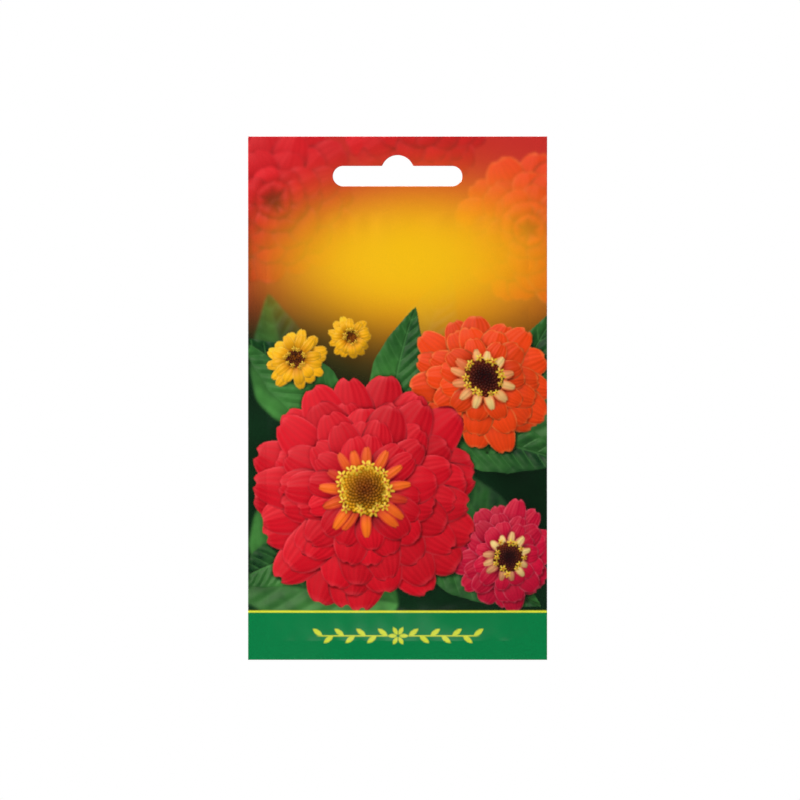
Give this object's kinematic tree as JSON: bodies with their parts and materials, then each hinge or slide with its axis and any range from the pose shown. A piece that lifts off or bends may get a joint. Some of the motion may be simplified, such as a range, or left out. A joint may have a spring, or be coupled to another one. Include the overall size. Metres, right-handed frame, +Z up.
{
  "type": "seed packet",
  "caption": "Flat laminated paper seed packet with a hang slot in its header and loose flower seeds sealed in a shallow pouch.",
  "frame": {"origin": "crown of the hang slot's arch, in the plane where the two sheets meet: the point that bears on a display peg", "axes": "+Z up the packet towards its top edge, as it hangs; -Y out of the printed front, +Y out of the back; +X to the right of someone who faces the front"},
  "size_m": [0.08, 0.0035, 0.14],
  "materials": {
    "front_print": "laminated paper printed in full colour and lacquered to a soft gloss: red blooms on dark green, a golden glow under the header and a plain green band at the foot",
    "back_print": "laminated paper, printed in pale cream with plain green and orange fields, satin",
    "seed_husk": "dry, matt, grey-brown seed husk with fine ribs"
  },
  "bodies": {
    "root": {"front_sheet": "front_print", "back_sheet": "back_print", "seed_01": "seed_husk", "seed_02": "seed_husk", "seed_03": "seed_husk", "seed_04": "seed_husk", "seed_05": "seed_husk", "seed_06": "seed_husk", "seed_07": "seed_husk", "seed_08": "seed_husk", "seed_09": "seed_husk", "seed_10": "seed_husk", "seed_11": "seed_husk", "seed_12": "seed_husk", "seed_13": "seed_husk", "seed_14": "seed_husk", "seed_15": "seed_husk", "seed_16": "seed_husk", "seed_17": "seed_husk", "seed_18": "seed_husk", "seed_19": "seed_husk", "seed_20": "seed_husk", "seed_21": "seed_husk", "seed_22": "seed_husk", "seed_23": "seed_husk", "seed_24": "seed_husk", "seed_25": "seed_husk", "seed_26": "seed_husk", "seed_27": "seed_husk", "seed_28": "seed_husk", "seed_29": "seed_husk", "seed_30": "seed_husk", "seed_31": "seed_husk", "seed_32": "seed_husk", "seed_33": "seed_husk", "seed_34": "seed_husk", "seed_35": "seed_husk", "seed_36": "seed_husk", "seed_37": "seed_husk", "seed_38": "seed_husk", "seed_39": "seed_husk", "seed_40": "seed_husk", "seed_41": "seed_husk", "seed_42": "seed_husk", "seed_43": "seed_husk", "seed_44": "seed_husk", "seed_45": "seed_husk", "seed_46": "seed_husk", "seed_47": "seed_husk", "seed_48": "seed_husk", "seed_49": "seed_husk", "seed_50": "seed_husk"}
  },
  "joints": []
}
